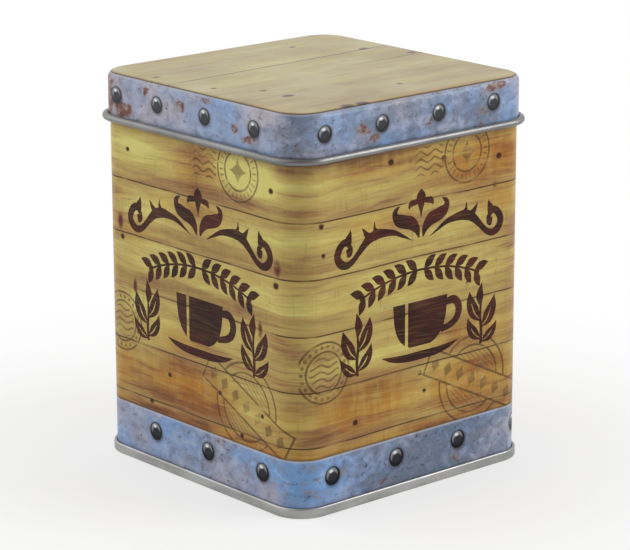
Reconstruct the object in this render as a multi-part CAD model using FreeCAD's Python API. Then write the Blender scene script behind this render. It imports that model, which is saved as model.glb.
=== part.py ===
import FreeCAD, Part
import os
from math import cos, radians, sin, sqrt

# A square tea tin folded from tinplate: a wrapped body, a base seamed on below, a slip lid above.
# Millimetres, +Z up, origin on the table under the middle of the tin.

# Sizes of the whole tin
body_width = 80.0  # outside of the body, flat to flat, both ways
body_height = 103.0  # table to the top of the mouth
corner_radius = 8.0  # outside of the body's upright corners
sheet = 0.25  # tinplate, the same gauge for all three pieces

# Base seam: the base's edge is hooked round the body's lower edge
seam_height = 2.75  # table to the top of the seam
seam_clearance = 0.05  # between two layers of the seam
seam_foot_radius = 0.5  # outside of the two bends that the tin stands on
foot_bend_share = 0.45  # most of the foot's width that one of those bends takes
hook_overlap = 1.45  # how far the two hooks reach past each other
panel_depth = 3.5  # table to the underside of the base panel
panel_bend = 0.8  # inside of the bend into the base panel

# Mouth hem: the body's upper edge is folded flat to the inside
hem_height = 3.0
hem_gap = 0.1  # between the wall and the folded edge

# Side seam: the sheet's two edges hooked together inside the back wall
lock_length = 3.0  # how far each edge's hook reaches into the other
lock_bend = 0.175  # inside of the two bends that step one edge inwards
lock_corner_distance = 4.0  # from the end of the flat wall to the seam
lock_end_margin = 2.0  # plain wall left between the seam and the hem or the base panel

# Lid
lid_clearance = 0.2  # lid skirt to body wall
lid_seat_gap = 0.3  # drop that the lid still has before it meets the mouth
lid_skirt = 12.9  # lid top to the underside of the curl
lid_edge_radius = 1.8  # outside of the bend between lid panel and skirt
curl_diameter = 1.9  # outside of the curled edge
curl_turn = 300.0  # degrees that the edge is rolled through

half_width = body_width / 2
flat = body_width - 2 * corner_radius
layer = sheet + seam_clearance  # from one layer of a seam to the next
hook_low = 2 * sheet + seam_clearance  # the hooks meet between these two heights
hook_high = seam_height - sheet
hook_middle = (hook_low + hook_high) / 2
wall_middle = -sheet / 2
up = FreeCAD.Vector(0, 0, 1)


def wall_section(out, height):
    # out is measured from the outside of the body wall, in the section through the +X side
    return FreeCAD.Vector(half_width + out, 0, height)


def folded(start, heading, moves, place):
    # Section of a bent sheet, as a face. Its middle line starts at a point with a heading in degrees;
    # each move is a straight run, then a bend of a middle radius through an angle, positive to the left.
    sides = {1: [], -1: []}
    caps = {}
    x, y = start
    angle = radians(heading)

    def beside(side, at_x, at_y, at_angle):
        reach = side * sheet / 2
        return place(at_x - reach * sin(at_angle), at_y + reach * cos(at_angle))

    caps["start"] = (beside(1, x, y, angle), beside(-1, x, y, angle))
    for run, radius, turn in moves:
        end_x = x + run * cos(angle)
        end_y = y + run * sin(angle)
        for side, edges in sides.items():
            if run > 0:
                ends = (beside(side, x, y, angle), beside(side, end_x, end_y, angle))
                edges.append(Part.LineSegment(*ends).toShape())
        x, y = end_x, end_y
        if turn == 0:
            continue
        hand = 1 if turn > 0 else -1
        centre_x = x - hand * radius * sin(angle)
        centre_y = y + hand * radius * cos(angle)
        stations = []
        for part in (0, 0.5, 1):
            there = angle + part * radians(turn)
            station_x = centre_x + hand * radius * sin(there)
            station_y = centre_y - hand * radius * cos(there)
            stations.append((station_x, station_y, there))
        for side, edges in sides.items():
            edges.append(Part.Arc(*[beside(side, *station) for station in stations]).toShape())
        x, y, angle = stations[-1]
    caps["end"] = (beside(1, x, y, angle), beside(-1, x, y, angle))
    closing = [Part.LineSegment(*pair).toShape() for pair in caps.values()]
    loop = Part.__sortEdges__(sides[1] + sides[-1] + closing)
    return Part.Face(Part.Wire(loop))


def carried_round(section):
    # The section runs along the four flat sides and turns about the four corner axes
    side = section.translated(FreeCAD.Vector(0, -flat / 2, 0)).extrude(FreeCAD.Vector(0, flat, 0))
    corner_axis = FreeCAD.Vector(flat / 2, flat / 2, 0)
    corner = section.translated(FreeCAD.Vector(0, flat / 2, 0)).revolve(corner_axis, up, 90)
    pieces = []
    for quarter in range(4):
        for piece in (side, corner):
            turned = piece.copy()
            turned.rotate(FreeCAD.Vector(), up, 90 * quarter)
            pieces.append(turned)
    return pieces


def joined(pieces):
    return pieces[0].multiFuse(pieces[1:]).removeSplitter()


def panel(underside):
    # The square between the corner axes, which closes a section that reaches inwards to them
    return Part.makeBox(flat, flat, sheet, FreeCAD.Vector(-flat / 2, -flat / 2, underside))


def side_seam():
    # Both edges of the sheet, in plan, and the window that they fill in the back wall
    low = panel_depth + sheet + lock_end_margin
    rise = body_height - hem_height - lock_end_margin - low
    start = lock_corner_distance - flat / 2
    step_radius = lock_bend + sheet / 2
    hook_turn = layer + sheet / 2
    outer_run = hook_turn + lock_length
    step_place = outer_run + layer + sheet + seam_clearance
    window_width = step_place + step_radius + sheet

    def plan(along, out):
        return FreeCAD.Vector(start + along, half_width + out, low)

    outer_edge = [(outer_run, layer, -180), (lock_length, 0, 0)]
    inner_edge = [
        (sheet, step_radius, 90),
        (3 * layer - 2 * step_radius, step_radius, -90),
        (step_place - step_radius - hook_turn, layer, -180),
        (lock_length, 0, 0),
    ]
    edges = [
        folded((0, wall_middle), 0, outer_edge, plan),
        folded((window_width, wall_middle), 180, inner_edge, plan),
    ]
    window = Part.makeBox(window_width, sheet, rise, plan(0, -sheet))
    return window, [edge.extrude(up * rise) for edge in edges]


def make_body_shell():
    # From the hook's upper edge: down, round under the seam, up the wall and over into the hem
    lower_turn = sheet + seam_clearance + sheet / 2 + layer
    hook_top = hook_middle + hook_overlap / 2
    hem_radius = (sheet + hem_gap) / 2
    upper_turn = body_height - sheet / 2 - hem_radius
    moves = [
        (hook_top - lower_turn, layer, -180),
        (upper_turn - lower_turn, hem_radius, 180),
        (hem_height - hem_radius - sheet / 2, 0, 0),
    ]
    section = folded((wall_middle + 2 * layer, hook_top), 270, moves, wall_section)
    window, edges = side_seam()
    wall = joined(carried_round(section)).cut(window)
    return joined([wall] + edges)


def make_base_plate():
    # From the hook's lower edge: over the body's hook, down outside it, in below and up to the panel
    hook_foot = hook_middle - hook_overlap / 2
    hook_out = wall_middle + layer
    outer_wall = hook_out + 2 * layer
    inner_wall = wall_middle - layer
    top_turn = seam_height - sheet / 2 - layer
    foot_width = outer_wall - inner_wall
    foot_radius = min(seam_foot_radius - sheet / 2, foot_bend_share * foot_width)
    panel_middle = panel_depth + sheet / 2
    panel_radius = panel_bend + sheet / 2
    moves = [
        (top_turn - hook_foot, layer, -180),
        (top_turn - sheet / 2 - foot_radius, foot_radius, -90),
        (foot_width - 2 * foot_radius, foot_radius, -90),
        (panel_middle - panel_radius - sheet / 2 - foot_radius, panel_radius, 90),
        (corner_radius + inner_wall - panel_radius, 0, 0),
    ]
    section = folded((hook_out, hook_foot), 90, moves, wall_section)
    return joined(carried_round(section) + [panel(panel_depth)])


def lid_underside():
    # The mouth's rounded edge nests in the bend of the lid, with the seat gap above the place of contact
    bend_inside = lid_edge_radius - sheet
    mouth_round = sheet + hem_gap / 2
    reach = bend_inside - mouth_round
    across = bend_inside - lid_clearance - mouth_round
    rise = sqrt(reach ** 2 - across ** 2) if across > 0 else reach
    return body_height - mouth_round - rise + bend_inside + lid_seat_gap


def make_lid():
    underside = lid_underside()
    top = underside + sheet
    edge_radius = lid_edge_radius - sheet / 2
    skirt_middle = lid_clearance + sheet / 2
    curl_radius = (curl_diameter - sheet) / 2
    curl_middle = top - lid_skirt + curl_diameter / 2
    moves = [
        (corner_radius + skirt_middle - edge_radius, edge_radius, -90),
        (top - lid_edge_radius - curl_middle, curl_radius, curl_turn),
    ]
    section = folded((-corner_radius, underside + sheet / 2), 0, moves, wall_section)
    return joined(carried_round(section) + [panel(underside)])


parts = {
    "body_shell": make_body_shell(),
    "base_plate": make_base_plate(),
    "lid": make_lid(),
}
os.makedirs("parts", exist_ok=True)
for name, shape in parts.items():
    shape.exportStep(f"parts/{name}.step")
    box = shape.BoundBox
    heights = [round(height, 3) for height in (box.ZMin, box.ZMax)]
    print(name, len(shape.Solids), shape.isValid(), round(shape.Volume, 2), heights)
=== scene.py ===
from math import atan2, cos, pi, radians, sin
import bpy
from mathutils import Matrix, Vector
from mathutils.geometry import delaunay_2d_cdt


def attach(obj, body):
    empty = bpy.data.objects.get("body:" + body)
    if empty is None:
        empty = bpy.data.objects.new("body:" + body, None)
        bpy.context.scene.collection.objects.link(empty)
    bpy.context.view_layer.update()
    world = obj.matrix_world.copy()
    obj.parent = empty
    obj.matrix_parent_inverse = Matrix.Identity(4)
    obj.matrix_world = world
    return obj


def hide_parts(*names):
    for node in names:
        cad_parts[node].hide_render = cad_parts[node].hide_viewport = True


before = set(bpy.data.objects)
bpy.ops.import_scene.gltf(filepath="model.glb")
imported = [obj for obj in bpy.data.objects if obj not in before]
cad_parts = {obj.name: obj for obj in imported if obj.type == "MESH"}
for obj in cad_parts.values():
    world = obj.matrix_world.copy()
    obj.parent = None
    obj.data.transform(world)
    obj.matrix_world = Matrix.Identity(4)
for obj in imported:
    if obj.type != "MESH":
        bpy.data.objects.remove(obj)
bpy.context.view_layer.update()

mm = 0.001
print("frame loaded")

# the tin in mm, as in the frame
tin = {
    "half": 40.0,  # middle to the outside of the body wall
    "corner": 8.0,  # outside of the upright corners
    "sheet": 0.25,
    "hold": 0.3,  # narrow strip beside each bend, keeps the flats flat in the shading
    "cornerSteps": 20,
    "wideBend": 0.6,  # a bend of a larger radius is drawn in wideStep degrees, the others in tightStep
    "wideStep": 12.0,
    "tightStep": 22.5,
    "fewestSteps": 4,
    "weld": 0.002,  # points nearer than this are merged
    "near": 0.01,  # places nearer than this count as one
    "smooth": 40,  # degrees between two faces that still shade as one
}
tin["flat"] = tin["half"] - tin["corner"]
sideRun = 2 * tin["flat"] + tin["corner"] * pi / 2  # one side of the print, corner middle to corner middle

# camera at the photograph's place, in metres and degrees
view = {
    "place": (0.541052, -0.470207, 0.245983),
    "yaw": 48.9703,
    "pitch": 15.3665,
    "roll": -0.1793,
    "lens": 159.917,
    "sensor": 36.0,
    "farEnd": 20.0,
}

bpy.ops.object.select_all(action="DESELECT")
bpy.ops.object.camera_add()
camera = bpy.context.object
yaw, pitch, roll = [radians(view[key]) for key in ("yaw", "pitch", "roll")]
turn = Matrix.Rotation(yaw, 4, "Z") @ Matrix.Rotation(pi / 2 - pitch, 4, "X")
camera.matrix_world = Matrix.Translation(view["place"]) @ turn @ Matrix.Rotation(roll, 4, "Z")
camera.data.lens = view["lens"]
camera.data.sensor_width = view["sensor"]
camera.data.clip_end = view["farEnd"]
bpy.context.scene.camera = camera
print("camera set")


# a value on a node's socket, so that shader maths reads as sums
class Wire:
    def __init__(self, finish, socket):
        self.finish, self.socket = finish, socket

    def math(self, operation, *values):
        return self.finish.add("ShaderNodeMath", {"operation": operation}, dict(enumerate(values)))

    def __add__(self, other):
        return self.math("ADD", self, other)

    def __radd__(self, other):
        return self.math("ADD", other, self)

    def __sub__(self, other):
        return self.math("SUBTRACT", self, other)

    def __rsub__(self, other):
        return self.math("SUBTRACT", other, self)

    def __mul__(self, other):
        return self.math("MULTIPLY", self, other)

    def __rmul__(self, other):
        return self.math("MULTIPLY", other, self)

    def __truediv__(self, other):
        return self.math("DIVIDE", self, other)

    def __rtruediv__(self, other):
        return self.math("DIVIDE", other, self)

    def __abs__(self):
        return self.math("ABSOLUTE", self)

    def least(self, other):
        return self.math("MINIMUM", self, other)

    def most(self, other):
        return self.math("MAXIMUM", self, other)

    def floor(self):
        return self.math("FLOOR", self)

    def sine(self):
        return self.math("SINE", self)

    def wrap(self, low, high):
        return self.math("WRAP", self, high, low)

    def root(self):
        return self.math("SQRT", self)

    def power(self, other):
        return self.math("POWER", self, other)

    def below(self, other):
        return self.math("LESS_THAN", self, other)

    def bearing(self, across):
        return self.math("ARCTAN2", self, across)

    # 0 at one value, 1 at the other, smooth between
    def ease(self, zero, one):
        sockets = {"Value": self, "From Min": zero, "From Max": one}
        return self.finish.add("ShaderNodeMapRange", {"interpolation_type": "SMOOTHSTEP"}, sockets)


class Finish:
    def __init__(self, name):
        self.material = bpy.data.materials.new(name)
        self.material.use_nodes = True
        self.tree = self.material.node_tree
        self.shader = self.tree.nodes["Principled BSDF"]

    def add(self, kind, settings, sockets, out=0):
        node = self.tree.nodes.new(kind)
        for key, value in settings.items():
            setattr(node, key, value)
        for key, value in sockets.items():
            self.plug(node.inputs[key], value)
        return Wire(self, node.outputs[out])

    def plug(self, socket, value):
        if isinstance(value, Wire):
            self.tree.links.new(value.socket, socket)
        else:
            socket.default_value = value

    def give(self, **sockets):
        for key, value in sockets.items():
            self.plug(self.shader.inputs[key.replace("_", " ")], value)

    def mix(self, share, under, over, blend="MIX"):
        colours = [value if isinstance(value, Wire) else (*value, 1) for value in (under, over)]
        settings = {"data_type": "RGBA", "blend_type": blend}
        return self.add("ShaderNodeMix", settings, {0: share, 6: colours[0], 7: colours[1]}, 2)

    def place(self, across, up, depth=0.0):
        return self.add("ShaderNodeCombineXYZ", {}, {0: across, 1: up, 2: depth})

    def noise(self, across, up, depth=0.0, detail=3.0, rough=0.5, bend=0.0):
        sockets = {"Vector": self.place(across, up, depth), "Scale": 1.0}
        sockets.update({"Detail": detail, "Roughness": rough, "Distortion": bend})
        return self.add("ShaderNodeTexNoise", {"noise_dimensions": "3D"}, sockets)

    # layers of noise from a table: scale along and up, seed, detail, roughness, bend
    def layers(self, along, up, table, seed=0.0):
        made = []
        for wide, tall, start, *look in table.values():
            made.append(self.noise(along * wide, up * tall, seed + start, *look))
        return made

    def split(self, vector):
        parts = self.add("ShaderNodeSeparateXYZ", {}, {0: vector}).socket.node
        return [Wire(self, socket) for socket in parts.outputs]

    # print coordinates in mm: along the unrolled sheet, and up it
    def sheetPlace(self):
        return self.split(self.add("ShaderNodeUVMap", {"uv_map": "print"}, {}))[:2]

    # place on the object in mm
    def objectPlace(self):
        place = self.add("ShaderNodeTexCoord", {}, {}, "Object")
        return [axis * 1000 for axis in self.split(place)]

    def far(self, across, up):
        return (across * across + up * up).root()

    def bump(self, height, depth):
        return self.add("ShaderNodeBump", {}, {"Strength": 1.0, "Distance": depth, "Height": height})


# old yellow boards, printed: colours in daylight, tints that stains and painted shadow multiply them by, and
# the grain
boards = {
    "dark": (0.160, 0.078, 0.038),
    "brown": (0.330, 0.188, 0.078),
    "ochre": (0.470, 0.350, 0.108),
    "yellow": (0.630, 0.560, 0.175),
    "rust": (0.90, 0.56, 0.31),
    "stain": (0.66, 0.56, 0.62),
    # grime tint, also used as painted shadow on the wall under the lid's curled rim
    "grimeAndLidShadow": (0.40, 0.31, 0.46),
    "gap": (0.050, 0.024, 0.014),
    "nail": (0.055, 0.015, 0.010),
    "drip": (0.120, 0.026, 0.022),
    "pitch": 14.55,
    "grain": {  # scale along and across, shift and seed from board to board, detail, roughness
        "drift": (0.022, 0.06, 1.3, 3.1, 3.0, 0.5),
        "patch": (0.045, 0.17, 5.3, 1.9, 4.0, 0.6),
        "bands": (0.034, 0.42, 7.3, 1.7, 5.0, 0.6),
        "fibre": (0.10, 2.4, 3.7, 2.3, 4.0, 0.65),
        "streak": (0.030, 1.3, 9.1, 4.3, 2.0, 0.5),
        "crack": (0.11, 1.9, 2.9, 5.7, 3.0, 0.6),
    },
    "wander": 7.0,  # how far the grain's lines stray across a board, in mm
    "lowEdge": (5.6, 4.6),  # the darker lower part of a board ends between these heights, in mm
    "bandShare": 0.44,
    "patchShare": 0.66,
    "fibreShare": 0.28,
    "lowShare": 0.085,
    "streakShare": 0.09,
    "crackShare": 0.6,
    "fairShare": 0.20,
    "midShade": 0.525,
    "tones": [("brown", 0.28, 0.43), ("ochre", 0.38, 0.53), ("yellow", 0.50, 0.72)],  # from shade to shade
}


# wood by place in mm along and across the grain; board is its number, rise the place within its width,
# fair a share from -1 to 1 that makes the wood darker or more yellow
def woodGrain(finish, along, across, board, rise, fair, contrast):
    def grain(name, over):
        wide, tall, shift, seed, detail, rough = boards["grain"][name]
        return finish.noise(along * wide + board * shift, over * tall, board * seed, detail, rough)

    line = across + grain("drift", across) * boards["wander"]
    patch = grain("patch", across)
    bands = grain("bands", line)
    fibre = grain("fibre", line)
    streak = grain("streak", line).ease(0.58, 0.72)
    low = rise.ease(*boards["lowEdge"]) * patch.ease(0.34, 0.56)
    middle = (boards["bandShare"] + boards["patchShare"] + boards["fibreShare"]) / 2
    shade = bands * boards["bandShare"] + patch * boards["patchShare"] + fibre * boards["fibreShare"]
    shade = (shade - middle) * contrast + boards["midShade"]
    shade = shade - (low * boards["lowShare"] + streak * boards["streakShare"]) * contrast
    shade = shade + fair * boards["fairShare"]
    tone = boards["dark"]
    for name, zero, one in boards["tones"]:
        tone = finish.mix(shade.ease(zero, one), tone, boards[name])
    crack = grain("crack", line).ease(0.64, 0.72) * patch.ease(0.56, 0.44)
    tone = finish.mix(crack * (boards["crackShare"] * contrast), tone, boards["dark"])
    return tone, fibre


spotEdge = (1.15, 0.2)  # a soft spot is gone at the first share of its size, full at the second


# soft spots by place: middle along and up, half length, half height, strength
def softSpots(finish, along, up, spots):
    cover = 0.0
    for middle, height, length, tall, strength in spots:
        spot = finish.far((along - middle) / length, (up - height) / tall).ease(*spotEdge)
        cover = (spot * strength).most(cover)
    return cover


# blue galvanised straps with rust, drawn flat on the sheet
straps = {
    "blue": (0.178, 0.335, 0.610),
    "grey": (0.290, 0.345, 0.490),
    "warm": (0.410, 0.370, 0.420),
    "pale": (0.560, 0.580, 0.660),
    "deep": (0.095, 0.125, 0.180),
    "tan": (0.315, 0.232, 0.192),
    "rust": (0.135, 0.040, 0.024),
    "speck": (0.036, 0.032, 0.036),
    # pale line along a strap's top edge: print on the body, painted highlight on the lid's rounded edge
    "edge": (0.54, 0.54, 0.56),
    "layers": {  # scale along and up, seed, detail, roughness, bend
        "broad": (0.045, 0.060, 0.0, 2.0, 0.5),
        "blotch": (0.21, 0.26, 4.0, 4.0, 0.58, 0.5),
        "crust": (0.36, 0.42, 21.0, 5.0, 0.7),
        "grit": (0.85, 0.95, 9.0, 3.0, 0.6),
        "stains": (0.085, 0.12, 13.0, 3.0, 0.6),
    },
    "blueShare": 0.75,
    "paleShare": 0.40,
    "paleLost": 0.28,  # less of the pale tone where the strap is dull
    "blotchShare": 0.58,
    "crustShare": 0.46,
    "tanShare": 0.85,
    "speckShare": 0.85,
    "blend": 0.08,  # half width of the strap's soft edge, in mm
}


# weathered metal; the sheet's lists of spots say where it is bluer, rusty, dull or warmer
def strapColour(finish, along, up, pair, sheet):
    kinds = ("bluer", "rusty", "dull", "warmer")
    bluer, rusty, dull, warmer = [softSpots(finish, pair, up, sheet[kind]) for kind in kinds]
    broad, blotch, crust, grit, stains = finish.layers(along, up, straps["layers"], sheet["strapSeed"])
    tone = finish.mix(broad.ease(0.46, 0.66).most(warmer), straps["grey"], straps["warm"])
    blue = (broad.ease(0.50, 0.34) * straps["blueShare"]).most(bluer) * blotch.ease(0.72, 0.50)
    tone = finish.mix(blue * (1 - warmer), tone, straps["blue"])
    pale = blotch.ease(0.50, 0.26) * (straps["paleShare"] - straps["paleLost"] * dull.least(1.0))
    tone = finish.mix(pale, tone, straps["pale"])
    deep = (blotch + dull * 0.16).ease(0.46, 0.80) * straps["blotchShare"]
    tone = finish.mix(deep, tone, straps["deep"])
    deep = (crust + dull * 0.08).ease(0.50, 0.68) * straps["crustShare"]
    tone = finish.mix(deep, tone, straps["deep"])
    rust = (stains * 0.55 + crust * 0.50 + rusty * 0.36).ease(0.59, 0.86)
    tone = finish.mix(rust * straps["tanShare"], tone, straps["tan"])
    scale = (crust + rust * 0.16).ease(0.48, 0.74) * rust.ease(0.1, 0.8)
    tone = finish.mix(scale, tone, straps["rust"])
    specks = grit.ease(0.58, 0.67) * crust.ease(0.42, 0.57) * broad.ease(0.25, 0.55)
    return finish.mix(specks * straps["speckShare"], tone, straps["speck"])


# strap over the boards: a shaded line on the wood above it, a lighter line along its own edge, printed on the
# body's flat wall and a painted highlight on the lid's rounded edge
def layStrap(finish, wood, strap, up, sheet):
    edge = sheet["strapTop"]
    fadeOut, full, share = sheet["strapShade"]
    wood = finish.mix(up.ease(edge + fadeOut, edge + full) * share, wood, boards["gap"])
    fadeOut, full, share = sheet["strapLineAndHighlight"]
    strap = finish.mix(up.ease(edge - fadeOut, edge - full) * share, strap, straps["edge"])
    return finish.mix(up.ease(edge + straps["blend"], edge - straps["blend"]), wood, strap)


# round rivet heads printed on the straps, lit from above
rivets = {
    "base": {"pitch": 4 * sideRun / 14, "first": 4.3, "up": 9.8, "radius": 2.6},
    "lid": {
        "pitch": 19.3, "first": 5.1, "oddShift": 1.9, "up": 98.5, "radius": 2.35,
        "corner": -31.2, "cornerEnd": -22.5,  # the one beside each corner stands out of the row
    },
    "dark": (0.004, 0.004, 0.006),
    "grey": (0.022, 0.023, 0.030),
    "glint": (0.80, 0.82, 0.85),
    "rounds": {  # in radii: middle across and up, squeeze across and up, where it is gone, where it is full
        "shadow": (0.05, -0.07, 1.0, 1.0, 1.30, 0.92),
        "lit": (-0.05, 0.10, 1.0, 1.05, 0.98, 0.35),
        "crescent": (-0.06, 0.16, 1.0, 1.0, 0.78, 0.62),
        "crescentHollow": (0.04, -0.22, 1.0, 1.0, 0.52, 0.80),
        "glint": (-0.18, 0.52, 1.1, 1.7, 0.42, 0.12),
        "head": (0.0, 0.0, 1.0, 1.0, 1.02, 0.90),
    },
    "shadowShare": 0.6,
    "crescentShare": 0.28,
    "glintShare": 0.9,
}


def rivetHeads(finish, tone, across, up, radius):
    across = across / radius
    up = up / radius

    def disc(name):
        middle, height, wide, tall, zero, one = rivets["rounds"][name]
        return finish.far((across - middle) * wide, (up - height) * tall).ease(zero, one)

    tone = finish.mix(disc("shadow") * rivets["shadowShare"], tone, straps["speck"])
    head = finish.mix(disc("lit"), rivets["dark"], rivets["grey"])
    crescent = disc("crescent") * disc("crescentHollow")
    head = finish.mix(crescent * rivets["crescentShare"], head, rivets["glint"])
    head = finish.mix(disc("glint") * rivets["glintShare"], head, rivets["glint"])
    return finish.mix(disc("head"), tone, head)


# worn rings and bars in thin ink; places in mm on one side of the tin
stamps = {
    "ink": (0.078, 0.040, 0.018),
    "line": 0.42,
    "sun": {
        "along": 17.5, "up": 86.6, "outer": 7.8, "inner": 5.0, "rays": 26, "star": 2.3, "starPower": 0.6,
        "rayInk": 0.8, "starInk": 0.8, "waveInk": 0.9,
        "waves": {"half": 0.95, "swing": 0.55, "turns": 1.25, "left": -19.0, "right": -8.2, "tall": 4.0},
    },
    "bead": {
        "along": -31.0, "up": 37.5, "outer": 7.9, "inner": 5.5, "dots": 22, "dot": 0.62,
        "dotInk": 0.8, "waveInk": 0.85,
        "waves": {"half": 0.9, "swing": 0.5, "turns": 1.1, "reach": 4.8},
    },
    "bar": {
        "along": 20.0, "up": 25.6, "outer": 11.6, "inner": 9.0, "tilt": -26, "halfLength": 17.5,
        "halfWidth": 3.6, "hatchHalf": 0.8, "diamondHalf": 2.4, "diamondWide": 1.6, "diamondTall": 2.2,
        "hatchInk": 0.45, "diamondInk": 0.75,
    },
}


def thin(value):
    return abs(value).ease(stamps["line"], 0.4 * stamps["line"])


def twoRings(reach, mark):
    return thin(reach - mark["outer"]).most(thin(reach - mark["inner"]))


def waveLines(across, rise, waves):
    line = rise + (across * waves["turns"]).sine() * waves["swing"]
    return thin(line.wrap(-waves["half"], waves["half"]))


# ring of rays round a star, with waves running off to the left
def sunMark(finish, across, rise, sun):
    reach = finish.far(across, rise)
    rays = (rise.bearing(across) * sun["rays"]).sine().ease(0.55, 0.85)
    rays = rays * reach.ease(sun["inner"] + 0.5, sun["inner"] + 0.9)
    rays = rays * reach.ease(sun["outer"] - 0.5, sun["outer"] - 0.9)
    star = abs(across).power(sun["starPower"]) + abs(rise).power(sun["starPower"])
    star = star.ease(sun["star"], sun["star"] - 0.2)
    waves = sun["waves"]
    lines = waveLines(across, rise, waves) * abs(rise).ease(waves["tall"], waves["tall"] - 0.4)
    lines = lines * across.ease(waves["right"], waves["right"] - 0.6)
    lines = lines * across.ease(waves["left"], waves["left"] + 2.0)
    marks = twoRings(reach, sun).most(rays * sun["rayInk"])
    return marks.most(star * sun["starInk"]).most(lines * sun["waveInk"])


# ring of dots round a disc of waves
def beadMark(finish, across, rise, bead):
    reach = finish.far(across, rise)
    middle = (bead["outer"] + bead["inner"]) / 2
    half = pi * middle / bead["dots"]
    turned = (rise.bearing(across) * middle).wrap(-half, half)
    dots = finish.far(turned, reach - middle).ease(bead["dot"], bead["dot"] - 0.22)
    waves = bead["waves"]
    lines = waveLines(across, rise, waves) * reach.ease(waves["reach"], waves["reach"] - 0.3)
    return twoRings(reach, bead).most(dots * bead["dotInk"]).most(lines * bead["waveInk"])


# slanting bar with diamonds over a hatched disc
def barMark(finish, across, rise, bar):
    reach = finish.far(across, rise)
    tilt = radians(bar["tilt"])
    run = across * cos(tilt) + rise * sin(tilt)
    lift = rise * cos(tilt) - across * sin(tilt)
    outline = (abs(run) - bar["halfLength"]).most(abs(lift) - bar["halfWidth"])
    hatch = thin((across + rise).wrap(-bar["hatchHalf"], bar["hatchHalf"]))
    hatch = hatch * reach.ease(bar["inner"] - 0.6, bar["inner"] - 0.9)
    disc = twoRings(reach, bar).most(hatch * bar["hatchInk"]) * outline.ease(0.0, 0.3)
    diamond = abs(run.wrap(-bar["diamondHalf"], bar["diamondHalf"])) / bar["diamondWide"]
    diamond = (diamond + abs(lift) / bar["diamondTall"]).ease(1.0, 0.85)
    diamond = diamond * abs(run).ease(bar["halfLength"] - 0.9, bar["halfLength"] - 1.3)
    return disc.most(thin(outline)).most(diamond * bar["diamondInk"])


def stampInk(finish, along, up):
    side = along.wrap(-sideRun / 2, sideRun / 2)
    marks = 0.0
    for draw, mark in ((sunMark, stamps["sun"]), (beadMark, stamps["bead"]), (barMark, stamps["bar"])):
        marks = draw(finish, side - mark["along"], up - mark["up"], mark).most(marks)
    return marks


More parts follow.
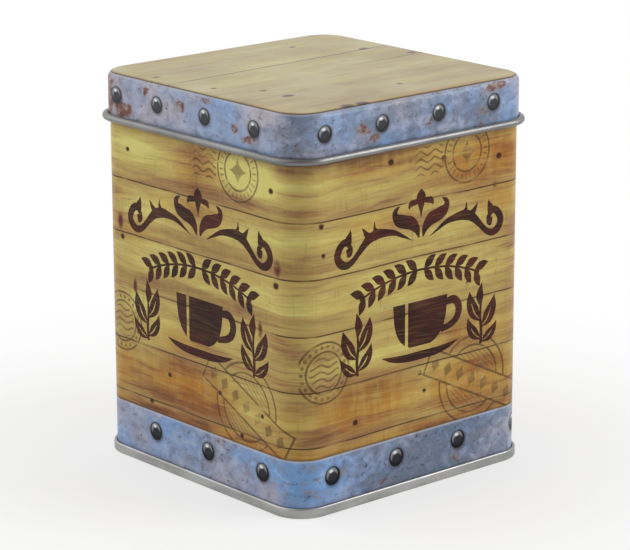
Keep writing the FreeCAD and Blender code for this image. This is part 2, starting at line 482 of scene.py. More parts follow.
# body print: along runs round the tin from the middle of the -Y side, in mm
bodyPrint = {
    "firstGap": 18.3,
    "gapWidth": 0.30,
    "gapSway": 0.9,  # how far a gap strays up and down
    "contrast": 0.78,
    "strapTop": 15.1,
    "strapSeed": 1.0,
    "strapShade": (0.9, 0.1, 0.6),  # where it fades out, where it is full, its share
    "strapLineAndHighlight": (0.65, 0.40, 0.45),
    "ink": (0.022, 0.003, 0.003),
    "wornInk": (0.064, 0.010, 0.008),
    "layers": {
        "sway": (0.03, 0.0, 0.0, 1.0),
        "fray": (0.07, 0.4, 5.0, 5.0, 0.65),
        "runs": (0.30, 0.045, 3.0, 3.0, 0.6),
        "scratch": (1.3, 0.08, 17.0, 2.0, 0.5),
        "pits": (0.75, 1.0, 14.0, 2.0, 0.5),
        "worn": (0.09, 0.1, 2.0, 2.0, 0.5),
        "ripple": (0.035, 0.03, 8.0, 1.0, 0.5),
    },
    "scratchShare": 0.30,
    "pitShare": 0.60,
    "besideGap": (1.6, 0.2),  # browner wood along a gap, in mm from it
    "besideShare": 0.30,
    "gapShare": 0.92,
    "stampShare": 0.76,
    "inkShare": 0.985,
    "inkLost": 0.085,  # ink that the wood's fibres keep off
    "ragged": 0.9,  # how far a nail hole's edge strays, in mm
    "nailSquash": 1.15,
    "nailEdge": (0.98, 0.45),  # in radii
    "rough": (0.30, 0.12),  # least, and more where worn
    "specular": 0.11,
    "dent": 0.0004,  # depth of the ripples in the sheet, in m
    "rust": [  # along, up, half length, half height, strength
        (1, 84, 11, 9, 0.75), (-4, 25, 28, 10, 1.1), (-30, 25, 14, 9, 0.75), (100, 84, 28, 10, 0.9),
        (96, 25, 28, 11, 0.85), (60, 26, 26, 10, 0.95), (34, 25, 16, 7, 0.4), (-26, 63, 12, 4, 0.35),
        (72, 88, 34, 4, 0.6), (-2, 73, 18, 4, 0.5), (64, 73, 16, 4, 0.5), (106, 73, 10, 6, 0.7),
        (-6, 37, 18, 5, 0.5), (98, 38, 20, 7, 0.6), (16, 16, 70, 4, 0.8), (86, 16, 56, 4, 0.7),
    ],
    "stain": [
        (14, 65.0, 50, 2.4, 0.8), (76, 50.0, 56, 2.0, 0.55), (-6, 51.0, 42, 2.6, 0.85),
        (36, 41, 22, 2.4, 0.4), (84, 64.5, 30, 1.8, 0.3), (-30, 44, 10, 3, 0.2), (92, 42, 20, 4.5, 0.7),
        (58, 30, 26, 5, 0.6), (-6, 30, 24, 4, 0.4), (104, 30, 12, 5, 0.3),
    ],
    # grime, and painted shadow: the row at up 91 and the spot at 87.6 lie just under the lid's curled rim
    "grimeAndLidShadow": [
        (60, 91, 24, 3.6, 1.0), (38, 91, 9, 3.4, 0.9), (96, 91, 22, 2.6, 0.7), (10, 91, 28, 2.2, 0.5),
        (74, 87.6, 9, 1.6, 0.7), (1, 83, 2.6, 7, 0.45),
    ],
    "fair": [
        (-25, 85.5, 13, 6, 0.8), (22, 86, 15, 6.5, 1.6), (24, 71, 26, 4.5, 0.5), (51, 84, 12, 5, 0.15),
        (30, 80, 9, 5, 0.4), (-8, 58, 30, 3.5, 0.5), (22, 56, 24, 4.5, 0.6), (72, 58, 34, 4, 0.6),
        (74, 66.5, 26, 3, 0.35), (66, 51, 22, 3, 0.3), (20, 22, 11, 4, 0.6), (18, 66, 18, 3.5, 0.3),
        (-24, 43, 7, 4, 0.5), (-20, 71, 16, 4, 0.3), (-20, 38, 20, 5, 0.2), (70, 38, 24, 4, 0.3),
    ],
    # darker wood; the tall strip at along 113, on the corner between the +X and +Y sides, is painted shade
    "dark": [
        (1, 82, 10, 9, 0.15), (0, 20, 36, 6, 0.5), (102, 82, 24, 9, 0.3), (90, 19, 32, 5, 0.15),
        (12, 79, 34, 2.4, 0.5), (36, 41, 26, 3, 0.2), (-6, 44, 26, 3, 0.3), (58, 29, 26, 6, 0.3),
        (90, 43, 20, 4, 0.3), (0, 73, 14, 4, 0.2), (58, 87, 26, 7, 0.4), (-6, 30, 20, 5, 0.3),
        (113, 58, 7, 44, 0.35), (43, 20, 8, 5, 0.5), (71, 73, 8, 4, 0.3), (104, 74, 12, 5, 0.35),
        (95, 36, 12, 5, 0.3), (100, 28, 10, 4, 0.3), (4, 16, 60, 4, 0.6), (74, 16, 62, 4, 0.45),
    ],
    "nails": [  # along, up, radius
        (-27.5, 84.7, 1.0), (30.2, 83.8, 1.2), (-30.4, 60.7, 1.2), (31.9, 60.0, 1.4), (9.5, 26.9, 1.0),
        (-11.2, 26.9, 1.0), (-19.1, 17.9, 1.1), (18.2, 17.6, 1.1), (26.3, 24.7, 0.9), (67.6, 88.0, 1.3),
        (85.9, 86.2, 1.2), (105.5, 84.0, 1.3), (104.2, 76.5, 1.1), (44.5, 75.3, 1.1), (45.1, 67.8, 0.9),
        (55.7, 22.3, 1.2), (79.6, 25.8, 0.9), (78.0, 30.8, 0.9), (94.8, 51.7, 0.9), (86.5, 41.7, 1.1),
    ],
    "drips": [  # along, up, half width, half height
        (-31.2, 64.8, 1.6, 3.0), (32.4, 64.4, 1.7, 3.0), (-25.4, 48.2, 1.2, 2.8), (25.7, 47.3, 1.3, 2.8),
    ],
    "bluer": [(40, 9, 28, 12, 1.0), (-4, 9, 9, 9, 0.5), (80, 9, 34, 12, 0.5), (-30, 7, 8, 6, 0.3)],
    "rusty": [
        (10, 14, 5, 2, 0.45), (4, 8, 7, 5, 0.2), (66, 3.6, 7, 2.5, 0.5), (92, 5, 4, 4, 0.4),
        (-34, 11, 5, 5, 0.3),
    ],
    "dull": [(82, 8, 31, 16, 1.7), (72, 4, 22, 6, 1.9), (6, 10, 12, 8, 0.2), (61, 13, 17, 4.5, 0.9)],
    "warmer": [(-24, 8, 10, 9, 0.6), (16, 6, 14, 6, 0.5), (28, 5, 9, 6, 0.8), (104, 5, 8, 6, 0.3)],
}


def printedBody():
    finish = Finish("printed_boards")
    along, up = finish.sheetPlace()
    pair = along.wrap(-sideRun / 2, 1.5 * sideRun)  # the print repeats every two sides
    sway, fray, runs, scratch, pits, worn, ripple = finish.layers(along, up, bodyPrint["layers"])
    level = (up + (sway - 0.5) * bodyPrint["gapSway"] - bodyPrint["firstGap"]) / boards["pitch"]
    board = level.floor()
    rise = (level - board) * boards["pitch"]

    # boards and what has stained them, with painted shadow under the lid's rim and painted shade on one
    # corner
    fair = softSpots(finish, pair, up, bodyPrint["fair"]) - softSpots(finish, pair, up, bodyPrint["dark"])
    tone, fibre = woodGrain(finish, along, up, board, rise, fair, bodyPrint["contrast"])
    uneven = fray.ease(0.22, 0.52) * 0.6 + runs.ease(0.36, 0.58) * 0.4
    for kind in ("rust", "stain", "grimeAndLidShadow"):
        cover = softSpots(finish, pair, up, bodyPrint[kind]) * uneven
        tone = finish.mix(cover, tone, boards[kind], "MULTIPLY")
    scratch = scratch.ease(0.60, 0.70) * fray.ease(0.42, 0.60)
    tone = finish.mix(scratch * bodyPrint["scratchShare"], tone, boards["dark"])
    pits = pits.ease(0.68, 0.75) * runs.ease(0.40, 0.60)
    tone = finish.mix(pits * bodyPrint["pitShare"], tone, boards["gap"])

    # gaps, nail holes and drips
    gapReach = rise.least(boards["pitch"] - rise)
    beside = gapReach.ease(*bodyPrint["besideGap"]) * bodyPrint["besideShare"]
    tone = finish.mix(beside, tone, boards["brown"])
    gap = gapReach.ease(bodyPrint["gapWidth"], 0.08) * worn.ease(0.20, 0.55)
    tone = finish.mix(gap * bodyPrint["gapShare"], tone, boards["gap"])
    drips = 0.0
    for middle, height, wide, tall in bodyPrint["drips"]:
        drips = finish.far((pair - middle) / wide, (up - height) / tall).ease(1.0, 0.3).most(drips)
    tone = finish.mix(drips * (fray * 0.5 + runs * 0.5).ease(0.34, 0.52), tone, boards["drip"])
    nails = 0.0
    for middle, height, radius in bodyPrint["nails"]:
        reach = finish.far(pair - middle, (up - height) * bodyPrint["nailSquash"])
        reach = reach + (fray - 0.5) * bodyPrint["ragged"]
        nails = reach.ease(*[share * radius for share in bodyPrint["nailEdge"]]).most(nails)
    tone = finish.mix(nails * fray.ease(0.28, 0.46), tone, boards["nail"])

    # stamps and the ornament, which is marked on the wall's faces
    stamped = stampInk(finish, along, up) * fray.ease(0.26, 0.54)
    tone = finish.mix(stamped * bodyPrint["stampShare"], tone, stamps["ink"])
    ink = finish.add("ShaderNodeAttribute", {"attribute_name": "ink"}, {}, 2)
    faded = (worn * 0.6 + fray * 0.4).ease(0.60, 0.38)
    inkTone = finish.mix(faded, bodyPrint["ink"], bodyPrint["wornInk"])
    ink = ink * (bodyPrint["inkShare"] - bodyPrint["inkLost"] * fibre.ease(0.46, 0.66))
    tone = finish.mix(ink, tone, inkTone)

    # strap round the foot
    strap = strapColour(finish, along, up, pair, bodyPrint)
    rivet = rivets["base"]
    spin = (along - rivet["first"]).wrap(-rivet["pitch"] / 2, rivet["pitch"] / 2)
    strap = rivetHeads(finish, strap, spin, up - rivet["up"], rivet["radius"])
    tone = layStrap(finish, tone, strap, up, bodyPrint)

    least, more = bodyPrint["rough"]
    finish.give(Base_Color=tone, Roughness=least + more * worn, Specular_IOR_Level=bodyPrint["specular"])
    finish.give(Normal=finish.bump(ripple, bodyPrint["dent"]))
    return finish.material


# lid print: boards run along Y on the panel, a strap goes round the skirt
lidPrint = {
    "firstGap": -12.2,
    "slant": 0.035,
    "contrast": 0.42,
    "boardSeed": 20.0,
    "gapWidth": 0.55,
    "gaps": [  # across, middle of its length, half length, strength
        (-12.2, 0, 80, 0.85), (1.6, 34, 30, 0.6), (17.0, -30, 20, 0.25), (-26.5, -12, 24, 0.25),
    ],
    "strapTop": 104.0,
    "strapSeed": 5.0,
    "strapShade": (0.80, 0.15, 0.85),
    # the lighter line on the lid's rounded edge is a painted highlight
    "strapLineAndHighlight": (0.75, 0.35, 0.30),
    # bluer cast over the lid's boards: partly the print's tone, partly painted sheen from above
    "tintAndSheen": (0.93, 0.99, 1.20),
    "pale": (0.600, 0.590, 0.330),
    "layers": {
        "worn": (0.05, 0.05, 2.0, 2.0),
        "cloud": (0.055, 0.035, 7.0, 3.0, 0.55),
    },
    "paleShare": 0.35,
    "greyShare": 0.35,
    "knotShare": 0.95,
    "knotStretch": 0.7,
    "knotFull": 0.4,  # in radii
    "rough": (0.28, 0.12),
    "specular": 0.34,
    "ripple": 0.03,
    "dent": 0.0004,
    "knots": [  # x, y, radius
        (-1.5, 36.5, 1.5), (-14, 30.5, 1.5), (27.5, 5.5, 1.0), (20, -25.5, 1.7), (11, -26, 1.0),
        (0.5, -33.5, 0.9), (-20.5, -35.5, 1.1), (-28.5, 17.5, 1.0), (38.7, -22.5, 2.0), (38.8, -17.6, 2.0),
    ],
    "fair": [(-6, -10, 16, 34, 0.30), (-30, 20, 16, 30, 0.15), (2, 10, 14, 20, 0.15)],
    "greyed": [
        (-2, 34, 7, 16, 0.5), (-20, -22, 10, 16, 0.35), (28, -14, 16, 26, 0.45), (20, 26, 10, 16, 0.3),
    ],
    "browned": [(39, 4, 4, 40, 0.7), (24, -38, 18, 4, 0.4)],
    "bluer": [(48, 98, 9, 8, 0.6), (100, 98, 14, 8, 0.7), (8, 97, 12, 6, 0.4), (84, 99, 8, 5, 0.5)],
    "rusty": [
        (-18.4, 101.5, 2.2, 2.4, 0.9), (-28, 95, 6, 2.6, 1.0), (-4.3, 99.6, 3, 2.4, 0.8),
        (6, 102.4, 4, 1.5, 0.8), (17, 97.5, 2.5, 2.5, 0.7), (22.5, 95.4, 4, 1.8, 0.8),
        (57.5, 97.6, 3.5, 2.6, 0.75), (62, 95.2, 3, 1.5, 0.7), (80, 97, 3, 2.5, 0.6),
        (104, 102.6, 5, 1.4, 0.8), (60, 97, 6, 5, 0.3), (98, 96, 6, 4, 0.35), (38, 96, 6, 5, 0.25),
        (-34.5, 98.5, 3.5, 8, 0.95),
    ],
    "dull": [
        (37, 98, 8, 12, 1.3), (76, 98, 44, 14, 0.9), (-32, 98, 12, 10, 0.3), (99, 97, 8, 6, 1.9),
        (60, 97, 6, 6, 1.3),
    ],
    "warmer": [(-33, 99, 11, 10, 1.0), (-10, 98, 7, 6, 0.5), (24, 99, 8, 6, 0.5), (101, 98, 6, 8, 0.6)],
}


def printedLid():
    finish = Finish("printed_lid")
    along, up = finish.sheetPlace()
    pair = along.wrap(-sideRun / 2, 1.5 * sideRun)
    x, y, z = finish.objectPlace()
    across = x + lidPrint["slant"] * y
    level = (across - lidPrint["firstGap"]) / boards["pitch"]
    board = level.floor()
    rise = (level - board) * boards["pitch"]

    # boards and what has stained them
    fair = softSpots(finish, x, y, lidPrint["fair"])
    board = board + lidPrint["boardSeed"]
    tone, fibre = woodGrain(finish, y, across, board, rise, fair, lidPrint["contrast"])
    worn, cloud = finish.layers(x, y, lidPrint["layers"])
    # bluer cast over the boards, partly painted sheen
    tone = finish.mix(1.0, tone, lidPrint["tintAndSheen"], "MULTIPLY")
    tone = finish.mix(cloud.ease(0.52, 0.36) * lidPrint["paleShare"], tone, lidPrint["pale"])
    greyed = cloud.ease(0.50, 0.70) * lidPrint["greyShare"]
    greyed = greyed.most(softSpots(finish, x, y, lidPrint["greyed"]))
    tone = finish.mix(greyed, tone, boards["stain"], "MULTIPLY")
    for middle, height, length, strength in lidPrint["gaps"]:
        gap = abs(across - middle).ease(lidPrint["gapWidth"], 0.1)
        gap = gap * abs(y - height).ease(length, 0.4 * length) * worn.ease(0.15, 0.5)
        tone = finish.mix(gap * strength, tone, boards["gap"])
    knots = 0.0
    for middle, height, radius in lidPrint["knots"]:
        reach = finish.far(x - middle, (y - height) * lidPrint["knotStretch"])
        knots = reach.ease(radius, lidPrint["knotFull"] * radius).most(knots)
    tone = finish.mix(knots * lidPrint["knotShare"], tone, boards["nail"])
    browned = softSpots(finish, x, y, lidPrint["browned"]) * fibre.ease(0.2, 0.6)
    tone = finish.mix(browned, tone, boards["rust"], "MULTIPLY")

    # strap round the skirt
    strap = strapColour(finish, along, up, pair, lidPrint)
    rivet = rivets["lid"]
    side = ((along + sideRun / 2) / sideRun).floor()
    shift = rivet["first"] + rivet["oddShift"] * side.wrap(0.0, 2.0)
    here = along - side * sideRun
    spin = (here - shift).wrap(-rivet["pitch"] / 2, rivet["pitch"] / 2)
    spin = spin + (here - rivet["corner"] - spin) * here.below(rivet["cornerEnd"])
    strap = rivetHeads(finish, strap, spin, up - rivet["up"], rivet["radius"])
    tone = layStrap(finish, tone, strap, up, lidPrint)

    least, more = lidPrint["rough"]
    finish.give(Base_Color=tone, Roughness=least + more * worn, Specular_IOR_Level=lidPrint["specular"])
    ripple = finish.noise(*[axis * lidPrint["ripple"] for axis in (x, y, z)], 1.0)
    finish.give(Normal=finish.bump(ripple, lidPrint["dent"]))
    return finish.material


# satin tinplate: on the foot a tone darker than the plate's, painted shade for darker reflections; on the
# lid's rim darker still, painted shade; bright plate inside
tinTones = {
    "bare_tin": ((0.290, 0.287, 0.280), (0.410, 0.406, 0.396)),
    # the same tin as the foot, darkened further as painted shade for the curl's darker reflections
    "shaded_rolled_rim": ((0.165, 0.165, 0.163), (0.245, 0.244, 0.240)),
    "bright_plate": ((0.620, 0.620, 0.610), (0.740, 0.740, 0.725)),
}
tinSurface = {"cloud": (0.08, 0.25), "rub": (0.5, 4.0), "detail": 3.0, "rough": (0.36, 0.18), "dent": 0.00001}


def bareTin(name):
    finish = Finish(name)
    x, y, z = finish.objectPlace()

    def streaks(level, upright):
        return finish.noise(x * level, y * level, z * upright, tinSurface["detail"])

    cloud, rub = [streaks(*tinSurface[layer]) for layer in ("cloud", "rub")]
    least, more = tinSurface["rough"]
    tone = finish.mix(cloud.ease(0.3, 0.7), *tinTones[name])
    finish.give(Base_Color=tone, Metallic=1.0, Roughness=least + more * cloud * rub.ease(0.2, 0.8))
    finish.give(Normal=finish.bump(rub, tinSurface["dent"]))
    return finish.material


finishes = {
    "body": printedBody(),
    "lid": printedLid(),
    "tin": bareTin("bare_tin"),
    "shadedRim": bareTin("shaded_rolled_rim"),
    "plate": bareTin("bright_plate"),
}
print("finishes made")


def clearSelection(mesh):
    for group in (mesh.polygons, mesh.edges, mesh.vertices):
        group.foreach_set("select", [False] * len(group))


def selectPoints(piece, wanted):
    bpy.ops.object.mode_set(mode="OBJECT")
    clearSelection(piece.data)
    for vertex in piece.data.vertices:
        vertex.select = wanted(vertex.co / mm)
    bpy.ops.object.mode_set(mode="EDIT")


def selectFaces(piece, wanted):
    bpy.ops.object.mode_set(mode="OBJECT")
    clearSelection(piece.data)
    for face in piece.data.polygons:
        face.select = wanted(face)
    bpy.ops.object.mode_set(mode="EDIT")
    bpy.ops.mesh.select_mode(type="FACE")


# a bent sheet's middle line, drawn in the section through the +X side: each move is a straight run in mm,
# then a bend of a radius through an angle in degrees, positive to the left
def foldSheet(name, start, heading, moves):
    bpy.ops.object.select_all(action="DESELECT")
    bpy.ops.mesh.primitive_plane_add(size=mm)
    piece = bpy.context.object
    piece.name = piece.data.name = name
    bpy.ops.object.mode_set(mode="EDIT")
    bpy.ops.mesh.select_mode(type="VERT")
    bpy.ops.mesh.merge(type="CENTER")
    x, z, angle = tin["half"] + start[0], start[1], radians(heading)
    y = -tin["flat"]
    bpy.ops.transform.translate(value=(x * mm, y * mm, z * mm))
    hold = tin["hold"]
    for run, radius, turn in moves:
        pieces = [hold, run - 2 * hold, hold] if run > 4 * hold else [run]
        for length in pieces:
            step = (length * cos(angle), length * sin(angle))
            x, z = x + step[0], z + step[1]
            move = {"value": (step[0] * mm, 0, step[1] * mm)}
            bpy.ops.mesh.extrude_vertices_move(TRANSFORM_OT_translate=move)
        if turn == 0:
            continue
        hand = 1 if turn > 0 else -1
        middle = (x - hand * radius * sin(angle), z + hand * radius * cos(angle))
        bendStep = tin["wideStep"] if radius > tin["wideBend"] else tin["tightStep"]
        bends = max(tin["fewestSteps"], round(abs(turn) / bendStep))
        centre = (middle[0] * mm, y * mm, middle[1] * mm)
        bpy.ops.mesh.spin(steps=bends, angle=radians(turn), center=centre, axis=(0, 1, 0))
        angle += radians(turn)
        x, z = middle[0] + hand * radius * sin(angle), middle[1] - hand * radius * cos(angle)
    return piece


# the line in edit mode is drawn along the four flats and turned about the four corner axes
def carryRound():
    bpy.ops.mesh.select_all(action="SELECT")
    flat, hold = tin["flat"], tin["hold"]
    for quarter in range(4):
        face = Matrix.Rotation(quarter * pi / 2, 3, "Z")
        for length in (hold, 2 * (flat - hold), hold):
            step = face @ Vector((0, length * mm, 0))
            bpy.ops.mesh.extrude_region_move(TRANSFORM_OT_translate={"value": step})
        centre = face @ Vector((flat * mm, flat * mm, 0))
        bpy.ops.mesh.spin(steps=tin["cornerSteps"], angle=-pi / 2, center=centre, axis=(0, 0, 1))
    bpy.ops.mesh.select_all(action="SELECT")
    bpy.ops.mesh.remove_doubles(threshold=tin["weld"] * mm)


def closePanel(piece, height):
    near = tin["near"]
    flat = tin["flat"] + near

    def onPanel(spot):
        return abs(spot.x) < flat and abs(spot.y) < flat and abs(spot.z - height) < near

    selectPoints(piece, onPanel)
    bpy.ops.mesh.edge_face_add()


def thicken(piece):
    bpy.ops.mesh.select_all(action="SELECT")
    bpy.ops.mesh.normals_make_consistent(inside=False)
    bpy.ops.object.mode_set(mode="OBJECT")
    wall = piece.modifiers.new("gauge", "SOLIDIFY")
    wall.thickness = tin["sheet"] * mm
    wall.offset = 0
    wall.use_even_offset = True
    bpy.ops.object.modifier_apply(modifier=wall.name)


# outward direction of the wall at a place, and how far out it is from the body's outside
def wallAt(x, y):
    flat = tin["flat"]
    beyond = Vector((max(abs(x) - flat, 0), max(abs(y) - flat, 0)))
    if beyond.x == 0 and beyond.y == 0:
        return Vector((0, 0)), -tin["corner"]
    out = beyond.length - tin["corner"]
    beyond.normalize()
    return Vector((beyond.x * (1 if x > 0 else -1), beyond.y * (1 if y > 0 else -1))), out


# place along the print, on the side of the tin that a face's middle is on
def sheetAlong(x, y, middle):
    quarter = round((atan2(middle[1], middle[0]) + pi / 2) / (pi / 2)) % 4
    spot = Matrix.Rotation(-quarter * pi / 2, 2) @ Vector((x, y))
    flat = tin["flat"]
    along = spot.x
    if abs(along) > flat:
        bend = atan2(abs(along) - flat, -spot.y - flat)
        along = (flat + tin["corner"] * bend) * (1 if along > 0 else -1)
    return along + quarter * sideRun


# the print starts and ends at the side seam in the back wall
seam = {"along": 23.9, "low": 5.75, "high": 98.0}


def layPrint(piece, upAt):
    mesh = piece.data
    layer = mesh.uv_layers.new(name="print")
    seamAlong = 2 * sideRun + seam["along"]
    for face in mesh.polygons:
        middle = face.center / mm
        sheetMiddle = sheetAlong(middle.x, middle.y, middle)
        lap = 4 * sideRun if sheetMiddle > seamAlong else 0
        for corner in face.loop_indices:
            spot = mesh.vertices[mesh.loops[corner].vertex_index].co / mm
            layer.data[corner].uv = (sheetAlong(spot.x, spot.y, middle) - lap, upAt(spot))


def finishPiece(piece, materials, pick, bodyName, nodeName):
    bpy.ops.object.mode_set(mode="OBJECT")
    for material in materials:
        piece.data.materials.append(material)
    for face in piece.data.polygons:
        middle = face.center / mm
        direction, out = wallAt(middle.x, middle.y)
        facing = face.normal.x * direction.x + face.normal.y * direction.y
        face.material_index = pick(middle, out, facing, face.normal.z)
    bpy.ops.object.select_all(action="DESELECT")
    piece.select_set(True)
    bpy.context.view_layer.objects.active = piece
    bpy.ops.object.shade_smooth_by_angle(angle=radians(tin["smooth"]))
    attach(piece, bodyName)
    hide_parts(nodeName)
    print(piece.name, len(piece.data.polygons), "faces")


# stencilled ornament, in mm from the ornament's middle line: brush strokes of along, up, half width
ornament = {
    "shift": 1.5,
    "steps": 7,
    "leastWidth": 0.03,
    "leastSpan": 1e-6,
    "leastArea": 1e-7,
    "weld": 1e-5,
    "strokes": [
        [(0, 79.6, 0.05), (0, 78.6, 1.1), (0, 77.5, 1.6), (0, 76.3, 1.35), (0, 75.0, 0.95), (0, 73.5, 0.4),
         (0, 71.9, 0.05)],
        [(0.6, 76.6, 0.7), (2.2, 76.3, 0.78), (3.4, 76.1, 0.85), (4.0, 75.4, 0.5), (4.1, 74.8, 0.1)],
        [(0.7, 67.0, 0.25), (1.5, 69.2, 1.1), (3.4, 71.1, 1.75), (5.6, 71.75, 1.75), (7.6, 72.5, 1.65),
         (8.8, 73.6, 1.08), (8.9, 74.8, 0.82), (8.2, 75.6, 0.5), (7.2, 76.1, 0.06)],
        [(3.1, 66.6, 0.05), (6.2, 68.2, 0.45), (9.0, 69.5, 0.72), (12.0, 70.05, 1.0), (15.0, 70.2, 1.35),
         (17.6, 69.5, 1.3), (19.6, 68.0, 1.05), (21.5, 66.2, 0.85), (23.2, 64.7, 0.85), (25.2, 63.9, 0.98),
         (27.2, 64.6, 1.15), (28.3, 66.5, 1.12), (27.7, 68.5, 1.1), (26.2, 69.8, 1.0), (24.9, 69.6, 0.95),
         (24.3, 68.5, 0.6)],
        [(23.9, 68.9, 0.45), (24.0, 67.9, 0.85), (24.5, 67.1, 1.25), (25.3, 66.9, 0.95)],
        [(24.8, 69.2, 1.1), (24.6, 70.6, 1.1), (24.1, 71.9, 0.5), (24.0, 72.9, 0.05)],
        [(15.4, 70.8, 1.0), (15.9, 72.0, 0.45), (15.9, 73.7, 0.05)],
        [(17.6, 69.8, 1.2), (18.8, 70.9, 0.75), (19.5, 71.9, 0.4), (20.1, 72.7, 0.05)],
    ],
}
# tea cup between two shoots under a leafy arch
emblem = {
    "strokes": [
        [(0, 38.2, 3.6), (0, 39.2, 5.6), (0, 41.4, 7.7), (0, 45, 9.0), (0, 50.2, 9.5)],
        [(0, 35.6, 1.15), (5.5, 35.7, 1.05), (10, 36.3, 0.7), (13.2, 37.2, 0.08)],
        [(21.6, 34.4, 0.45), (21.8, 38, 0.5), (21.4, 42, 0.45), (21.6, 45.5, 0.35)],
        [(21.6, 44.6, 0.3), (21.2, 47.4, 1.3), (21.9, 51.0, 0.05)],
        [(21.4, 40.6, 0.15), (19.3, 43.2, 1.75), (17.9, 46.2, 1.5), (17.4, 49.2, 0.05)],
        [(21.8, 38.8, 0.15), (24.0, 41.0, 1.85), (25.7, 43.9, 1.55), (26.5, 47.0, 0.05)],
        [(21.7, 35.6, 0.15), (19.4, 37.4, 1.5), (17.7, 39.6, 1.2), (16.9, 42.2, 0.05)],
        [(21.8, 34.9, 0.15), (24.2, 36.0, 1.4), (26.1, 37.6, 1.1), (27.4, 39.8, 0.05)],
    ],
    "handle": [
        (8.6, 48.1, 0.8), (11.8, 48.4, 1.05), (13.6, 45.8, 1.2), (12.2, 42.6, 1.05), (7.2, 40.9, 0.75),
    ],
    "slit": [(-4.8, 37.2, 0.5), (-4.8, 44, 0.5), (-4.8, 51.5, 0.5)],
    "veins": [
        [(21.1, 41.2, 0.05), (19.3, 43.2, 0.2), (18.2, 45.8, 0.05)],
        [(22.2, 39.2, 0.05), (24.0, 41.0, 0.2), (25.3, 43.6, 0.05)],
        [(21.2, 36.0, 0.05), (19.4, 37.4, 0.2), (18.1, 39.2, 0.05)],
        [(22.3, 35.1, 0.05), (24.2, 36.0, 0.2), (25.8, 37.4, 0.05)],
    ],
    "arch": {
        "radius": 52.0, "top": 58.4, "reach": 21.5, "stem": 0.3, "leaves": 6, "firstLeaf": 1.2,
        "leafLength": 5.0, "leafWidth": 1.15, "leafAhead": 0.75, "leafLift": 0.68,
        "leafEnds": (0.1, 0.05),
        "leafShape": [(0.28, 0.42, 1.0), (0.5, 0.74, 0.8)],  # shares of length, lift and width
    },
}


def archStrokes(arch):
    strokes = []

    def onArch(along, lift=0.0):
        bend = along / arch["radius"]
        height = arch["top"] - arch["radius"] + (arch["radius"] + lift) * cos(bend)
        return (arch["radius"] + lift) * sin(bend), height

    strokes.append([(*onArch(arch["reach"] * part / 4), arch["stem"]) for part in range(5)])
    long, wide, first = arch["leafLength"], arch["leafWidth"], arch["firstLeaf"]
    for leaf in range(arch["leaves"]):
        foot = first + leaf * (arch["reach"] - first) / (arch["leaves"] - 0.5)
        for side in (1, -1):
            tip = foot + arch["leafAhead"] * long
            lift = side * arch["leafLift"] * long
            points = [(foot, 0, arch["leafEnds"][0])]
            for ahead, up, half in arch["leafShape"]:
                points.append((foot + ahead * long, lift * up, half * wide))
            points.append((tip, lift, arch["leafEnds"][1]))
            strokes.append([(*onArch(along, up), half) for along, up, half in points])
    return strokes


# a smooth ribbon through the points, as small triangles
def brush(points, steps):
    least = ornament["leastSpan"]
    spots = [Vector(point) for point in points]
    spots = [2 * spots[0] - spots[1]] + spots + [2 * spots[-1] - spots[-2]]
    line = []
    for before, first, last, after in zip(spots, spots[1:], spots[2:], spots[3:]):
        span = (last.xy - first.xy).length
        leave = (last - before) * (span / max((last.xy - before.xy).length, least))
        arrive = (after - first) * (span / max((after.xy - first.xy).length, least))
        for step in range(steps):
            t = step / steps
            line.append(
                first * (2 * t ** 3 - 3 * t ** 2 + 1) + leave * (t ** 3 - 2 * t ** 2 + t)
                + last * (3 * t ** 2 - 2 * t ** 3) + arrive * (t ** 3 - t ** 2)
            )
    line.append(spots[-2])
    sides = []
    for index, spot in enumerate(line):
        ahead = line[min(index + 1, len(line) - 1)].xy - line[max(index - 1, 0)].xy
        ahead.normalize()
        reach = Vector((-ahead.y, ahead.x)) * max(spot.z, ornament["leastWidth"])
        sides.append((spot.xy + reach, spot.xy - reach))
    triangles = []
    for (left, right), (nextLeft, nextRight) in zip(sides, sides[1:]):
        triangles += [(left, right, nextRight), (left, nextRight, nextLeft)]
    return triangles


def mirrored(strokes):
    return strokes + [[(-along, up, wide) for along, up, wide in stroke] for stroke in strokes]


# one flat wall panel with the ornament cut into its faces
def inkedPanel(low, high, groove):
    half = tin["flat"] - tin["hold"]
    inked = mirrored(ornament["strokes"] + emblem["strokes"] + archStrokes(emblem["arch"]))
    inked.append(emblem["handle"])
    gaps = mirrored(emblem["veins"]) + [emblem["slit"]]
    spots = [Vector(corner) for corner in ((-half, low), (half, low), (half, high), (-half, high))]
    faces = [[0, 1, 2, 3]]
    inkFaces = set()
    gapFaces = set()
    for group, marked in ((inked, inkFaces), (gaps, gapFaces)):
        for stroke in group:
            for triangle in brush(stroke, ornament["steps"]):
                area = (triangle[1] - triangle[0]).cross(triangle[2] - triangle[0])
                if abs(area) < ornament["leastArea"]:
                    continue
                first = len(spots)
                spots += [spot + Vector((ornament["shift"], 0)) for spot in triangle]
                marked.add(len(faces))
                faces.append([first, first + 1, first + 2] if area > 0 else [first, first + 2, first + 1])
    edges = []
    if groove:
        middle, wide, bottom, top = [groove[key] for key in ("along", "half", "low", "high")]
        ends = (bottom, bottom + wide, top - wide, top)
        for along in (middle - wide, middle, middle + wide):
            edges += [(len(spots) + step, len(spots) + step + 1) for step in range(3)]
            spots += [Vector((along, end)) for end in ends]
    points, _, triangles, _, _, sources = delaunay_2d_cdt(spots, edges, faces, 1, ornament["weld"], True)
    ink = [bool(inkFaces.intersection(source)) and not gapFaces.intersection(source) for source in sources]
    return points, triangles, ink


